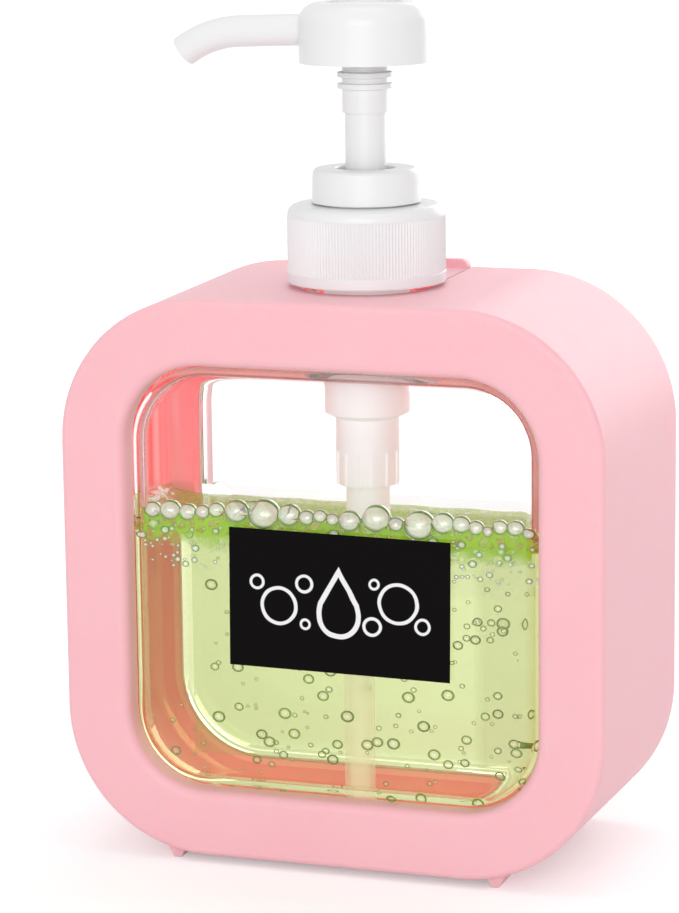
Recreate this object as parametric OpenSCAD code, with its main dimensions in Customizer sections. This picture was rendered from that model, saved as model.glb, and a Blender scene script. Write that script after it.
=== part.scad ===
// Soap dispenser: a clear square bottle in a pink two-part frame, with a white press pump.
// All sizes are in millimetres. The front faces -Y, Z is up and the feet stand on z = 0.

/* [Frame] */
// Width of the frame at its front edge
frame_width = 113; // [100:0.5:130]
// Height of the frame at its front edge
frame_height = 114; // [100:0.5:130]
// Depth of the frame from front face to back face
frame_depth = 53; // [44:0.5:64]
// Outer corner radius at the front
frame_corner = 29.5; // [24:0.5:34]
// How far each wall leans out from front to back
frame_draft = 1.0; // [0:0.1:1.5]
// Wall thickness of both frame parts
frame_wall = 2.2; // [1.6:0.1:3]
// Width of the front lip between outer edge and window
lip_width = 13.5; // [10:0.5:16]
// Width of the rear lip between outer edge and window
rear_lip = 12.5; // [9:0.5:15]
// Depth of the collar that lines each window
return_depth = 5.2; // [4:0.1:7]
// Thickness of the window collar
return_wall = 1.6; // [1.2:0.1:2.2]
// Rounding of the outer front edge
edge_round = 1.3; // [0.6:0.1:2]
// Rounding of the window edge
window_round = 2.0; // [1:0.1:2.1]
// Half width of the slot for the bottle neck
slot_half = 14.0; // [13.6:0.1:15.5]
// Gap between the rear part and the shell
fit_gap = 0.15; // [0.1:0.05:0.3]
// Gap down each side of the top tab
tab_gap = 0.3; // [0.2:0.05:0.5]
// Height of the raised edge of the top tab
tab_rise = 1.7; // [1:0.1:2.5]
// Thickness of the raised edge of the top tab
tab_thick = 2.0; // [1.4:0.1:3]
// How far the rim of the rear part reaches into the shell
spigot_depth = 3.0; // [2:0.1:3.2]
// Length of each snap bead
bead_length = 24; // [12:1:36]
// Radius of each snap bead
bead_radius = 0.5; // [0.3:0.1:0.7]

/* [Feet] */
// Height of the two ribs that carry the frame
foot_height = 1.5; // [1:0.1:3]
// Distance of each foot rib from the middle
foot_offset = 33.8; // [25:0.1:38]
// Width of a foot rib where it joins the frame
foot_base = 4.6; // [3:0.1:7]
// Width of the flat a foot rib stands on
foot_flat = 1.4; // [0.8:0.1:3]
// Distance of the rib ends from front and back
foot_inset = 2.2; // [1:0.1:8]

/* [Bottle] */
// Wall thickness of the bottle
bottle_wall = 1.8; // [1:0.1:2.5]
// Gap between bottle and frame walls
bottle_gap = 0.6; // [0.4:0.1:1.5]
// How far the bottle panels sit behind the frame faces
panel_inset = 1.6; // [0.8:0.1:3]
// Rounding round each bottle panel
panel_round = 3.5; // [2:0.1:4]
// Rounding of the bottle body edges
body_round = 6; // [3:0.5:9]
// Outer radius of the neck
neck_radius = 12.7; // [12:0.1:13.2]
// Bore radius of the neck
neck_bore = 10.25; // [9.6:0.05:10.8]
// Height of the liquid surface above the table
liquid_level = 66.5; // [30:0.5:95]
// Gap between the liquid and the bottle wall
liquid_gap = 0.1; // [0.05:0.05:0.3]
// Gap between the liquid and the tube
tube_room = 0.4; // [0.3:0.1:1]

/* [Label] */
// Width of the label
label_width = 46.2; // [30:0.2:60]
// Height of the label
label_height = 28.2; // [20:0.2:40]
// Thickness of the label
label_thick = 0.15; // [0.1:0.05:0.3]
// Sideways position of the label middle
label_x = 2.0; // [-6:0.1:6]
// How far the label middle lies below the window middle
label_drop = 2.9; // [-5:0.1:10]
// Lean of the label, clockwise from the front
label_lean = 0.6; // [0:0.1:2]

/* [Closure] */
// Radius over the grip ribs
closure_radius = 16.0; // [15:0.1:17]
// Depth of the grip ribs
rib_depth = 0.3; // [0.1:0.05:0.5]
// Number of grip ribs
rib_count = 150; // [60:2:180]
// Gap between the frame top and the closure
closure_gap = 0.5; // [0.3:0.1:2]
// Height of the closure
closure_height = 15.6; // [14:0.1:18]
// Height of the plain rim under the ribs
closure_rim = 2.2; // [1:0.1:3]
// Height of the plain band above the ribs
closure_band = 2.3; // [1.5:0.1:4]
// Rounding of the closure shoulder
closure_round = 2.0; // [0.5:0.1:2.2]
// Thickness of the closure roof
closure_roof = 1.5; // [1:0.1:2]
// Bore radius of the closure
closure_bore = 13.95; // [13.5:0.05:14.2]
// Number of turns that free the closure
closure_turns = 1.5; // [1:0.25:2]

/* [Collar] */
// Outer radius of the collar at its foot
collar_radius = 10.95; // [10:0.05:12]
// Height of the collar
collar_height = 6.8; // [5:0.1:9]
// Gap between closure roof and collar
collar_gap = 0.4; // [0.2:0.1:1]
// Rounding of the collar shoulder
collar_round = 1.1; // [0.4:0.1:1.8]
// Radius of the hole round the stem
collar_hole = 5.9; // [5.6:0.05:6.2]
// Wall of the inner tube of the collar
collar_tube_wall = 1.4; // [1:0.1:1.8]
// Depth of the inner tube below the collar top
collar_tube_depth = 18.5; // [14:0.5:24]
// Height of the guide ring at the foot of the tube
guide_height = 3; // [2:0.5:5]

/* [Plunger] */
// Outer radius of the stem
stem_radius = 4.1; // [3.6:0.05:4.4]
// Radius of the stem top inside the head
spigot_radius = 3.0; // [2.6:0.1:3.3]
// Bore radius of the stem
stem_bore = 1.7; // [1.2:0.1:2]
// Length of the spigot inside the head
spigot_length = 10; // [6:0.5:12]
// Travel of the plunger from up to fully pressed
stroke = 15; // [10:0.5:15]
// Running gap between stem and guide
stem_gap = 0.1; // [0.05:0.01:0.2]
// Running gap between piston lips and housing bore
piston_gap = 0.05; // [0.02:0.01:0.1]
// Height of the piston
piston_height = 8; // [6:0.5:10]
// Radius of the piston between its lips
piston_waist = 6.4; // [5.5:0.1:7]
// Radius of the flange that stops the stem
stem_flange_radius = 6.4; // [6:0.1:7]
// Thickness of that flange
stem_flange = 1.6; // [1:0.1:2.5]
// Radius of the plug pressed into the stem foot
plug_radius = 2.6; // [2.4:0.05:3]
// Radius of the plug flange that the spring presses on
plug_flange_radius = 5.3; // [5:0.1:6]
// Thickness of the plug flange
plug_flange = 1.4; // [1:0.1:2]
// Bore radius of the plug
plug_bore = 1.1; // [0.8:0.1:1.4]
// Depth of the plug inside the stem
plug_depth = 4; // [3:0.25:5]
// Radius of the seat of the outlet ball
seat_radius = 2.2; // [2:0.05:2.4]
// Gap between a ball and its seat
ball_rest = 0.02; // [0.01:0.01:0.05]
// Gap between the piston and the stem flange
piston_rest = 0.1; // [0.05:0.05:0.3]
// Room beside the outlet ball
ball_room = 0.45; // [0.2:0.05:0.6]
// Height of the pocket above the plug
pocket_height = 4; // [3.5:0.25:6]

/* [Head] */
// Radius of the head
head_radius = 13.15; // [11:0.05:16]
// Height of the head rim above the collar when up
head_lift = 20.9; // [18:0.1:26]
// Height of the head from rim to top
head_height = 12.0; // [10:0.1:15]
// Rounding of the head shoulder
head_round = 4.0; // [2:0.1:5]
// Wall thickness of the head
head_wall = 1.3; // [1:0.1:2]
// Depth of the thumb dish
dish_depth = 0.4; // [0.2:0.1:1]
// Radius of the thumb dish
dish_radius = 7.5; // [5:0.1:8.5]
// Radius of the boss under the head
boss_radius = 4.6; // [4.4:0.05:5]
// How far the boss reaches below the head rim
boss_drop = 9.9; // [6:0.1:12]
// Radius over the two ridges on the boss
ridge_radius = 5.55; // [5:0.05:5.7]
// Height of one ridge
ridge_height = 1.35; // [0.6:0.05:1.5]
// Distance of the first ridge below the head rim
ridge_first = 1.7; // [1.5:0.1:4]
// Distance between the two ridges
ridge_step = 2.25; // [1.5:0.05:3]

/* [Nozzle] */
// Outer radius of the nozzle
nozzle_radius = 3.2; // [2.6:0.1:4]
// Bore radius of the nozzle
nozzle_bore = 1.9; // [1:0.1:2.4]
// Height of the nozzle above the head rim at the axis
nozzle_height = 6.75; // [5:0.05:8]
// Droop of the straight nozzle
nozzle_droop = 2; // [0:0.5:6]
// Length of the straight nozzle from the axis
nozzle_length = 26.5; // [20:0.5:40]
// Bend radius of the nozzle tip
bend_radius = 22; // [10:1:40]
// Bend angle of the nozzle tip
bend_angle = 34; // [0:1:70]

/* [Pump body] */
// Outer radius of the wide chamber
chamber_radius = 8.6; // [8:0.1:9.5]
// Bore radius of the wide chamber
chamber_bore = 7.5; // [7:0.1:8]
// Length of the wide chamber below the flange
chamber_length = 39.4; // [36:0.1:44]
// Outer radius of the lower chamber
lower_radius = 6.45; // [5.5:0.05:8]
// Bore radius of the lower chamber
lower_bore = 5.5; // [4.5:0.1:6]
// Height of the taper from the wide chamber to the lower one
chamber_taper = 1.1; // [0.5:0.1:3]
// Length of the lower chamber
lower_length = 14.8; // [12:0.1:20]
// Height of the ribbed part of the lower chamber
lower_rib_height = 6.9; // [3:0.1:12]
// Number of ribs on the lower chamber
lower_rib_count = 12; // [6:1:24]
// Outer radius of the tube socket
socket_radius = 4.45; // [4:0.05:6]
// Depth of the tube socket
socket_depth = 12.5; // [8:0.5:16]
// Radius of the flange clamped by the closure
flange_radius = 12.3; // [11:0.1:13]
// Thickness of that flange
flange_thick = 1.2; // [0.8:0.1:2]
// Thickness of the gasket
gasket_thick = 1.0; // [0.5:0.1:2]
// Gap between the gasket and the neck rim
gasket_rest = 0.05; // [0.02:0.01:0.1]
// Outer radius of the dip tube
tube_radius = 3.2; // [2.4:0.1:3.5]
// Bore radius of the dip tube
tube_bore = 2.1; // [1.5:0.1:2.4]
// Height of the dip tube end above the bottle floor
tube_clear = 2.4; // [1:0.1:10]
// Bore radius of the inlet
inlet_bore = 1.6; // [1.2:0.1:2]
// Height of the inlet seat above the foot of the lower chamber
seat_lift = 0.4; // [0.2:0.1:1]
// Radius of the pocket round the inlet ball
ball_pocket = 3.4; // [3.2:0.05:3.6]
// Radius of the inlet ball
ball_radius = 3.0; // [2:0.1:3.2]
// Radius of the outlet ball
small_ball = 2.0; // [1.5:0.1:2.2]
// Wire radius of the spring
wire_radius = 0.45; // [0.3:0.05:0.6]
// Mean radius of the spring coil
coil_radius = 4.6; // [4:0.1:4.9]
// Number of turns of the spring
coil_turns = 9; // [6:1:11]

/* [Hidden] */
frame_colour = [1.0, 0.62, 0.66];
clear_colour = [0.93, 0.96, 0.97, 0.3];
soap_colour = [0.75, 0.88, 0.4, 0.6];
white_colour = [0.95, 0.95, 0.95];
spare_white = [0.9, 0.89, 0.87];
black_colour = [0.03, 0.03, 0.03];
steel_colour = [0.7, 0.7, 0.72];
eps = 0.01;
// Middle of the frame and the four corner centres, shared by frame, bottle and liquid
mid_z = foot_height + frame_height / 2;
corner_x = frame_width / 2 - frame_corner;
corner_z = frame_height / 2 - frame_corner;
front_v = frame_depth / 2;
back_v = -frame_depth / 2;
window_corner = frame_corner - lip_width;
back_corner = frame_corner + frame_draft;
rear_window_corner = back_corner - rear_lip;
lean = frame_draft / frame_depth;
frame_top = foot_height + frame_height;
// Bottle sizes that follow from the frame
body_corner = frame_corner - frame_wall - bottle_gap;
body_front = front_v - return_depth - 0.7;
body_back = back_v + return_depth + 0.7;
panel_front = front_v - panel_inset;
panel_back = back_v + panel_inset;
panel_corner = window_corner - bottle_gap;
rear_panel_corner = rear_window_corner - bottle_gap;
rest_height = bottle_gap + frame_draft + 0.4;
rest_length = 2 * (body_front - body_round);
body_top = mid_z + corner_z + body_corner;
body_bottom = mid_z - corner_z - body_corner;
// Pump stack heights
closure_bottom = frame_top + lean * (front_v + closure_radius) + closure_gap;
closure_top = closure_bottom + closure_height;
roof_under = closure_top - closure_roof;
flange_top = roof_under - 0.1;
flange_under = flange_top - flange_thick;
gasket_under = flange_under - gasket_thick;
neck_top = gasket_under - gasket_rest;
collar_foot = closure_top + collar_gap;
collar_top = collar_foot + collar_height;
guide_foot = collar_top - collar_tube_depth;
collar_tube_outer = collar_hole + collar_tube_wall;
collar_top_wall = 1.6;
housing_top = collar_top - collar_top_wall - 0.3;
head_rim = collar_top + head_lift;
boss_foot = head_rim - boss_drop;
stem_flange_top = guide_foot - 0.1;
piston_top = stem_flange_top - stem_flange;
piston_foot = piston_top - piston_height;
stem_foot = piston_foot - 0.1;
plug_foot = stem_foot - plug_flange;
chamber_foot = flange_under - chamber_length;
lower_foot = chamber_foot - lower_length;
socket_top = lower_foot - 2.4;
tube_end = body_bottom + bottle_wall + tube_clear;
spring_foot = lower_foot + 6.6;
spring_length = plug_foot - spring_foot;
head_top = head_rim + head_height;
nozzle_z = head_rim + nozzle_height;

// Turns a shape drawn as seen from the front into place: x stays, y becomes height, z points forward
module facing() {
  translate([0, 0, mid_z])
  rotate([90, 0, 0])
  children();
}

// Sweeps a profile round the rounded square whose corner centres are at cx and cy
module ring(cx, cy) {
  for (i = [0:3]) {
    sx = (i == 0 || i == 3) ? 1 : -1;
    sy = (i < 2) ? 1 : -1;
    translate([sx * cx, sy * cy, 0])
    rotate(90 * i) {
      rotate_extrude(angle = 90)
      children();
      rotate([90, 0, 0])
      linear_extrude(i % 2 == 0 ? 2 * cy : 2 * cx)
      children();
    }
  }
}

// Solid version of the sweep, closed in the middle from z0 to z1
module puck(cx, cy, z0, z1) {
  ring(cx, cy)
  children();
  translate([-cx, -cy, z0])
  cube([2 * cx, 2 * cy, z1 - z0]);
}

// What is cut away to round a corner at x and y whose solid lies towards dx and dy
module corner_cut(x, y, r, dx, dy) {
  translate([x, y])
  difference() {
    translate([dx > 0 ? -1 : -r, dy > 0 ? -1 : -r])
    square([r + 1, r + 1]);
    translate([dx * r, dy * r])
    circle(r = r, $fn = 64);
  }
}

// Upright tube with its foot at z0
module pipe(r_out, r_in, z0, z1) {
  translate([0, 0, z0])
  difference() {
    cylinder(r = r_out, h = z1 - z0, $fn = 96);
    translate([0, 0, -1])
    cylinder(r = r_in, h = z1 - z0 + 2, $fn = 96);
  }
}

// Section of the front shell: outer wall, front lip and the collar lining the window
module shell_section() {
  difference() {
    polygon([
      [window_corner, front_v],
      [frame_corner, front_v],
      [back_corner, back_v],
      [back_corner - frame_wall, back_v],
      [frame_corner - frame_wall, front_v - frame_wall],
      [window_corner + return_wall, front_v - frame_wall],
      [window_corner + return_wall, front_v - return_depth],
      [window_corner, front_v - return_depth]
    ]);
    corner_cut(frame_corner, front_v, edge_round, -1, -1);
    corner_cut(window_corner, front_v, window_round, 1, -1);
  }
}

// Section of the rear part: back lip, window collar and the rim that enters the shell
module rear_section() {
  rim = back_corner - frame_wall - fit_gap;
  difference() {
    polygon([
      [rear_window_corner, back_v],
      [rim, back_v],
      [rim - spigot_depth * lean, back_v + frame_wall + spigot_depth],
      [rim - return_wall, back_v + frame_wall + spigot_depth],
      [rim - return_wall, back_v + frame_wall],
      [rear_window_corner + return_wall, back_v + frame_wall],
      [rear_window_corner + return_wall, back_v + return_depth],
      [rear_window_corner, back_v + return_depth]
    ]);
    corner_cut(rear_window_corner, back_v, window_round, 1, 1);
  }
}

// One foot rib, a trapezoid bar running front to back
module foot(side) {
  reach = foot_height + 1.5;
  translate([side * foot_offset, frame_depth / 2 - foot_inset, 0])
  rotate([90, 0, 0])
  linear_extrude(frame_depth - 2 * foot_inset)
  polygon([
    [-foot_flat / 2, 0],
    [foot_flat / 2, 0],
    [foot_base / 2, reach],
    [-foot_base / 2, reach]
  ]);
}

// Snap bead lying on a wall: side -1 and 1 are the side walls, 0 is the floor
module bead(r, side) {
  depth = back_v + frame_wall + spigot_depth / 2;
  wall = back_corner - frame_wall - fit_gap - 0.1;
  if (side == 0) {
    translate([-bead_length / 2, -depth, mid_z - corner_z - wall])
    rotate([0, 90, 0])
    cylinder(r = r, h = bead_length, $fn = 32);
  } else {
    translate([side * (corner_x + wall), -depth, mid_z - bead_length / 2])
    cylinder(r = r, h = bead_length, $fn = 32);
  }
}

// Slot in the top wall that lets the neck in from behind
module neck_slot(half) {
  translate([0, 0, frame_top - frame_wall - 3])
  cylinder(r = half, h = 12, $fn = 96);
  translate([-half, 0, frame_top - frame_wall - 3])
  cube([2 * half, frame_depth, 12]);
}

module front_frame() {
  color(frame_colour)
  difference() {
    union() {
      facing()
      ring(corner_x, corner_z)
      shell_section();
      difference() {
        for (s = [-1, 1]) foot(s);
        facing()
        puck(corner_x, corner_z, back_v - 1, front_v + 1)
        translate([0, back_v - 1])
        square([frame_corner - frame_wall / 2, frame_depth + 2]);
      }
      // Rests that carry the bottle inside the shell
      for (s = [-1, 1])
      translate([s * 18 - 1, -rest_length / 2, body_bottom - rest_height])
      cube([2, rest_length, rest_height]);
    }
    neck_slot(slot_half);
    for (s = [-1, 0, 1]) bead(bead_radius + fit_gap, s);
  }
}

// Piece of the top wall that fills the slot behind the neck, with a raised edge at the back
module top_tab() {
  half = slot_half - tab_gap;
  back_z = frame_top + frame_draft;
  difference() {
    union() {
      translate([half, 0, 0])
      rotate([0, -90, 0])
      linear_extrude(2 * half)
      polygon([
        [frame_top + lean * (front_v + 6) - frame_wall, 6],
        [frame_top + lean * (front_v + 6), 6],
        [back_z, front_v],
        [back_z - frame_wall - 0.6, front_v],
        [back_z - frame_wall - 0.6, front_v - frame_wall],
        [back_z - frame_wall, front_v - frame_wall - 0.6]
      ]);
      translate([0, front_v, 0])
      rotate([90, 0, 0])
      linear_extrude(tab_thick)
      difference() {
        translate([-half, back_z - 1])
        square([2 * half, tab_rise + 1]);
        for (s = [-1, 1]) corner_cut(s * half, back_z + tab_rise, 1.6, -s, -1);
      }
    }
    translate([0, 0, frame_top - 6])
    cylinder(r = slot_half + tab_gap, h = 12, $fn = 96);
  }
}

module rear_frame() {
  color(frame_colour)
  union() {
    difference() {
      facing()
      ring(corner_x, corner_z)
      rear_section();
      // The rim is left out under the top tab so the neck slot stays free
      translate([-slot_half + tab_gap, 0, frame_top - frame_wall - 2.6])
      cube([2 * slot_half - 2 * tab_gap, front_v - frame_wall, 3]);
    }
    top_tab();
    for (s = [-1, 0, 1]) bead(bead_radius, s);
  }
}

// Outline of the bottle body and its two raised panels, from the corner centre outwards
module bottle_section(inset) {
  pf = panel_front - inset;
  pb = panel_back + inset;
  bf = body_front - inset;
  bb = body_back + inset;
  uc = body_corner - inset;
  pc = panel_corner - inset;
  rc = rear_panel_corner - inset;
  difference() {
    polygon([
      [0, pb],
      [rc, pb],
      [rc, bb],
      [uc, bb],
      [uc, bf],
      [pc, bf],
      [pc, pf],
      [0, pf]
    ]);
    corner_cut(rc, pb, panel_round - inset, -1, 1);
    corner_cut(pc, pf, panel_round - inset, -1, -1);
    corner_cut(uc, bb, body_round - inset, -1, 1);
    corner_cut(uc, bf, body_round - inset, -1, -1);
  }
}

module bottle_solid(inset) {
  facing()
  puck(corner_x, corner_z, panel_back + inset, panel_front - inset)
  bottle_section(inset);
}

module bottle() {
  color(clear_colour)
  difference() {
    union() {
      bottle_solid(0);
      translate([0, 0, body_top - 1])
      cylinder(r = neck_radius, h = neck_top - body_top + 1, $fn = 96);
    }
    bottle_solid(bottle_wall);
    translate([0, 0, body_top - bottle_wall - 1])
    cylinder(r = neck_bore, h = neck_top - body_top + bottle_wall + 2, $fn = 96);
  }
}

// The liquid fills the bottle up to its level, with room for the pump body and the tube
module soap() {
  color(soap_colour)
  difference() {
    intersection() {
      bottle_solid(bottle_wall + liquid_gap);
      translate([-frame_width, -frame_depth, 0])
      cube([2 * frame_width, 2 * frame_depth, liquid_level]);
    }
    rotate_extrude($fn = 96)
    polygon([
      [0, lower_foot - socket_depth - tube_room],
      [socket_radius + tube_room, lower_foot - socket_depth - tube_room],
      [socket_radius + tube_room, lower_foot - tube_room],
      [lower_radius + tube_room, lower_foot - tube_room],
      [lower_radius + tube_room, chamber_foot - chamber_taper - tube_room],
      [chamber_radius + tube_room, chamber_foot - tube_room],
      [chamber_radius + tube_room, neck_top],
      [0, neck_top]
    ]);
    translate([0, 0, tube_end - 1])
    cylinder(r = tube_radius + tube_room, h = frame_height, $fn = 96);
  }
}

module label() {
  color(black_colour)
  translate([label_x, -panel_front, mid_z - label_drop])
  rotate([0, label_lean, 0])
  translate([-label_width / 2, -label_thick, -label_height / 2])
  cube([label_width, label_thick, label_height]);
}

module closure() {
  rib_low = closure_bottom + closure_rim;
  rib_high = closure_top - closure_band;
  root = closure_radius - rib_depth;
  points = [
    for (i = [0:2 * rib_count - 1])
    (i % 2 == 0 ? closure_radius - 0.05 : root) * [cos(i * 180 / rib_count), sin(i * 180 / rib_count)]
  ];
  color(white_colour)
  difference() {
    union() {
      translate([0, 0, rib_low - eps])
      linear_extrude(rib_high - rib_low + 2 * eps)
      polygon(points);
      rotate_extrude($fn = 128)
      polygon([
        [0, closure_bottom],
        [closure_radius - 0.1, closure_bottom],
        [closure_radius, closure_bottom + 0.3],
        [closure_radius, rib_low - 0.2],
        [closure_radius - 0.2, rib_low],
        [0, rib_low]
      ]);
      rotate_extrude($fn = 128)
      difference() {
        translate([0, rib_high])
        square([closure_radius - 0.1, closure_top - rib_high]);
        corner_cut(closure_radius - 0.1, closure_top, closure_round, -1, -1);
      }
    }
    translate([0, 0, closure_bottom - 1])
    cylinder(r = closure_bore, h = roof_under - closure_bottom + 1, $fn = 96);
    translate([0, 0, roof_under - 1])
    cylinder(r = chamber_radius + 0.35, h = 5, $fn = 96);
  }
}

module gasket() {
  color(spare_white)
  pipe(neck_radius - 0.4, chamber_radius + 0.1, gasket_under, flange_under);
}

// Lock-down collar: skirt over the housing, and an inner tube that guides the stem
module collar() {
  skirt_bore = chamber_radius + 0.1;
  color(white_colour)
  rotate_extrude($fn = 128)
  difference() {
    union() {
      polygon([
        [skirt_bore, collar_foot],
        [collar_radius, collar_foot],
        [collar_radius - 0.25, collar_top],
        [collar_hole, collar_top],
        [collar_hole, collar_top - collar_top_wall],
        [skirt_bore, collar_top - collar_top_wall]
      ]);
      translate([collar_hole, guide_foot])
      square([collar_tube_wall, collar_top - collar_top_wall - guide_foot + eps]);
      translate([stem_radius + stem_gap, guide_foot])
      square([collar_hole - stem_radius - stem_gap + eps, guide_height]);
    }
    corner_cut(collar_radius - 0.25, collar_top, collar_round, -1, -1);
    corner_cut(collar_hole, collar_top, 0.4, 1, -1);
  }
}

// Places a shape so its z axis runs along the straight nozzle
module along_nozzle(d) {
  translate([0, 0, nozzle_z])
  rotate([0, -(90 + nozzle_droop), 0])
  translate([0, 0, d])
  children();
}

// Bent tip of the nozzle, a tube swept through the bend angle
module nozzle_tip() {
  along_nozzle(nozzle_length)
  translate([-bend_radius, 0, 0])
  rotate([90, 0, 0])
  rotate_extrude(angle = bend_angle, $fn = 128)
  translate([bend_radius, 0])
  difference() {
    circle(r = nozzle_radius, $fn = 64);
    circle(r = nozzle_bore, $fn = 64);
  }
}

module head() {
  ridge_top = head_rim - ridge_first;
  inner = head_radius - head_wall;
  roof_inner = head_top - dish_depth - head_wall;
  color(white_colour)
  difference() {
    union() {
      // Domed cap with its thumb dish
      rotate_extrude($fn = 128)
      difference() {
        translate([0, head_rim])
        square([head_radius, head_height]);
        corner_cut(head_radius, head_top, head_round, -1, -1);
        polygon([
          [0, head_rim - 1],
          [inner, head_rim - 1],
          [inner, head_top - head_round],
          [inner - 2.4, roof_inner],
          [0, roof_inner]
        ]);
        translate([0, head_top - dish_depth])
        square([dish_radius, 1]);
      }
      // Boss that takes the stem, with its two ridges
      translate([0, 0, boss_foot])
      cylinder(r = boss_radius, h = roof_inner + 0.3 - boss_foot, $fn = 96);
      rotate_extrude($fn = 96)
      for (k = [0, 1])
      translate([boss_radius - eps, ridge_top - k * ridge_step - ridge_height])
      polygon([
        [0, 0],
        [ridge_radius - boss_radius, 0.2],
        [ridge_radius - boss_radius, ridge_height - 0.2],
        [0, ridge_height]
      ]);
      along_nozzle(0)
      cylinder(r = nozzle_radius, h = nozzle_length, $fn = 64);
    }
    // Socket for the stem and the channel out to the tip
    translate([0, 0, boss_foot - 1])
    cylinder(r = spigot_radius, h = spigot_length + 1, $fn = 64);
    translate([0, 0, boss_foot])
    cylinder(r = stem_bore, h = nozzle_z - boss_foot, $fn = 48);
    along_nozzle(0)
    cylinder(r = nozzle_bore, h = nozzle_length + 1, $fn = 64);
  }
  color(white_colour)
  nozzle_tip();
}

// Hollow stem: spigot in the head, flange that stops it in the collar, pocket for the small ball
module stem() {
  pocket = small_ball + ball_room;
  seat_top = stem_foot + plug_depth;
  color(white_colour)
  rotate_extrude($fn = 96)
  polygon([
    [plug_radius, stem_foot],
    [stem_radius, stem_foot],
    [stem_radius, piston_top],
    [stem_flange_radius, piston_top],
    [stem_flange_radius, stem_flange_top],
    [stem_radius, stem_flange_top],
    [stem_radius, boss_foot],
    [spigot_radius, boss_foot],
    [spigot_radius, boss_foot + spigot_length],
    [stem_bore, boss_foot + spigot_length],
    [stem_bore, seat_top + pocket_height],
    [pocket, seat_top + pocket_height + stem_bore - pocket],
    [pocket, seat_top],
    [plug_radius, seat_top]
  ]);
}

// Piston with a wiping lip at each end
module piston() {
  lip = chamber_bore - piston_gap;
  hole = stem_radius + piston_gap;
  lip_edge = 0.5;
  lip_height = 0.8;
  color(spare_white)
  rotate_extrude($fn = 96)
  polygon([
    [hole, piston_foot],
    [piston_waist - lip_edge, piston_foot],
    [lip - lip_edge, piston_foot - lip_height],
    [lip, piston_foot - lip_height],
    [lip, piston_foot + lip_height / 2],
    [piston_waist, piston_foot + piston_height / 4],
    [piston_waist, piston_top - piston_height / 4],
    [lip, piston_top - lip_height],
    [lip, piston_top - piston_rest],
    [hole, piston_top - piston_rest]
  ]);
}

// Insert in the stem foot that carries the small ball and takes the spring
module stem_plug() {
  seat_top = stem_foot + plug_depth;
  lead = 0.3;
  color(spare_white)
  rotate_extrude($fn = 64)
  polygon([
    [plug_bore, plug_foot],
    [plug_flange_radius, plug_foot],
    [plug_flange_radius, stem_foot],
    [plug_radius, stem_foot],
    [plug_radius, seat_top - lead],
    [seat_radius, seat_top],
    [plug_bore, seat_top - seat_radius + plug_bore]
  ]);
}

module outlet_ball() {
  color(steel_colour)
  translate([0, 0, stem_foot + plug_depth - seat_radius + small_ball * sqrt(2) + ball_rest])
  sphere(r = small_ball, $fn = 64);
}

// Steel wire wound as a helix with closed end turns
module spring() {
  steps = 20 * coil_turns;
  sides = 8;
  rise = spring_length - 2 * wire_radius;
  function height(t) = t < 1 ? t * 2 * wire_radius : t > coil_turns - 1 ? rise - (coil_turns - t) * 2 * wire_radius : 2 * wire_radius + (t - 1) * (rise - 4 * wire_radius) / (coil_turns - 2);
  points = [
    for (i = [0:steps])
    for (k = [0:sides - 1])
    let (t = i / 20, a = 360 * t, b = 360 * k / sides, r = coil_radius + wire_radius * cos(b))
    [r * cos(a), r * sin(a), spring_foot + wire_radius + height(t) + wire_radius * sin(b)]
  ];
  faces = concat(
    [for (i = [0:steps - 1]) for (k = [0:sides - 1]) [i * sides + k, i * sides + (k + 1) % sides, (i + 1) * sides + (k + 1) % sides]],
    [for (i = [0:steps - 1]) for (k = [0:sides - 1]) [i * sides + k, (i + 1) * sides + (k + 1) % sides, (i + 1) * sides + k]],
    [[for (k = [0:sides - 1]) sides - 1 - k]],
    [[for (k = [0:sides - 1]) steps * sides + k]]
  );
  color(steel_colour)
  polyhedron(points = points, faces = faces);
}

// Pump body: wide chamber, lower chamber with the ball seat, and the socket for the tube
module housing() {
  seat = lower_foot + seat_lift;
  color(white_colour)
  difference() {
    union() {
      rotate_extrude($fn = 128)
      polygon([
        [0, lower_foot - socket_depth],
        [socket_radius, lower_foot - socket_depth],
        [socket_radius, lower_foot],
        [lower_radius - 0.35, lower_foot],
        [lower_radius - 0.35, lower_foot + lower_rib_height],
        [lower_radius, lower_foot + lower_rib_height],
        [lower_radius, chamber_foot - chamber_taper],
        [chamber_radius, chamber_foot],
        [chamber_radius, flange_under],
        [flange_radius, flange_under],
        [flange_radius, flange_top],
        [chamber_radius, flange_top],
        [chamber_radius, housing_top],
        [0, housing_top]
      ]);
      for (i = [0:lower_rib_count - 1])
      rotate(360 * i / lower_rib_count)
      translate([lower_radius - 1, -0.4, lower_foot])
      cube([1, 0.8, lower_rib_height + 0.1]);
    }
    rotate_extrude($fn = 96)
    polygon([
      [0, lower_foot - socket_depth - 1],
      [tube_radius, lower_foot - socket_depth - 1],
      [tube_radius, socket_top],
      [inlet_bore, socket_top],
      [inlet_bore, seat],
      [ball_pocket, seat + ball_pocket - inlet_bore],
      [ball_pocket, spring_foot - 0.4],
      [ball_pocket - 0.6, spring_foot - 0.2],
      [ball_pocket - 0.6, spring_foot],
      [lower_bore, spring_foot],
      [lower_bore, chamber_foot + 0.2],
      [chamber_bore, chamber_foot + 2],
      [chamber_bore, housing_top + 1],
      [0, housing_top + 1]
    ]);
    // Vent hole under the flange
    translate([0, 0, guide_foot + 2])
    rotate([90, 0, 0])
    cylinder(r = 0.7, h = 12, $fn = 24);
  }
}

module inlet_ball() {
  color(steel_colour)
  translate([0, 0, lower_foot + seat_lift - inlet_bore + ball_radius * sqrt(2) + ball_rest])
  sphere(r = ball_radius, $fn = 64);
}

module dip_tube() {
  color(spare_white)
  pipe(tube_radius, tube_bore, tube_end, socket_top);
}

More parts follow.
